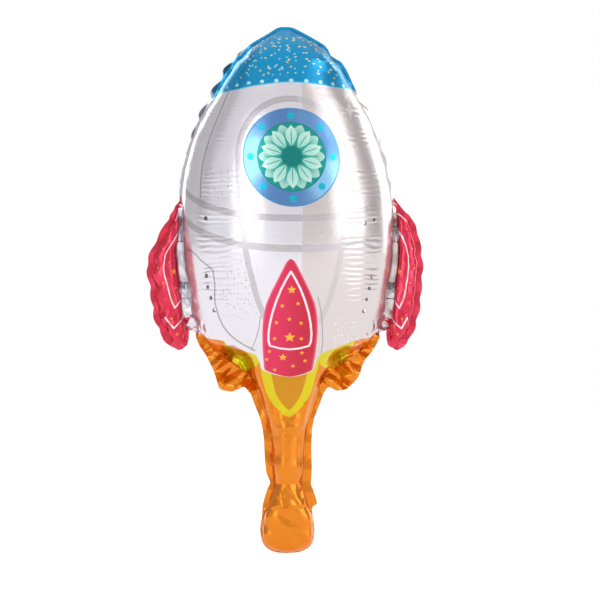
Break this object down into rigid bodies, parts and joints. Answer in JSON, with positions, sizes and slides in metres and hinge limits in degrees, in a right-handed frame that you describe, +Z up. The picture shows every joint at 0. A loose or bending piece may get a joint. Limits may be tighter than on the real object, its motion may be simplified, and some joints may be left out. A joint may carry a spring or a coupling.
{
  "type": "rocket foil balloon on a handle",
  "caption": "Inflated foil balloon shaped as a cartoon rocket with side fins, ruffled flames and a gas-filled handle to hold or wave it by.",
  "frame": {"origin": "middle of the grip, on the axis of the handle tube, midway between the two films", "axes": "+Z up along the rocket, from the grip to the nose; -Y is the printed front; -X is the balloon's left fin as the front is seen"},
  "size_m": [0.2402, 0.1256, 0.4622],
  "materials": {
    "blue_foil": "metallised blue print, mirror gloss",
    "silver_foil": "metallised silver with grey print, mirror gloss",
    "red_foil": "metallised red print, mirror gloss",
    "orange_foil": "metallised orange print, mirror gloss",
    "valve_film": "clear matt film"
  },
  "bodies": {
    "root": {"nose_front": "blue_foil", "nose_back": "blue_foil", "nose_seal": "blue_foil", "hull_front": "silver_foil", "hull_back": "silver_foil", "hull_seal_left": "silver_foil", "hull_seal_right": "silver_foil", "notch_seal_left": "silver_foil", "notch_seal_right": "silver_foil", "fin_left_front": "red_foil", "fin_left_back": "red_foil", "fin_seal_left": "red_foil", "weld_left_upper": "silver_foil", "weld_left_middle": "silver_foil", "weld_left_lower": "silver_foil", "flame_left": "orange_foil", "handle_seal_left": "orange_foil", "fin_right_front": "red_foil", "fin_right_back": "red_foil", "fin_seal_right": "red_foil", "weld_right_upper": "silver_foil", "weld_right_middle": "silver_foil", "weld_right_lower": "silver_foil", "flame_right": "orange_foil", "handle_seal_right": "orange_foil", "handle_front": "orange_foil", "handle_back": "orange_foil", "tail_front": "orange_foil", "tail_back": "orange_foil", "tail_seal": "orange_foil", "valve_sleeve": "valve_film"}
  },
  "joints": []
}
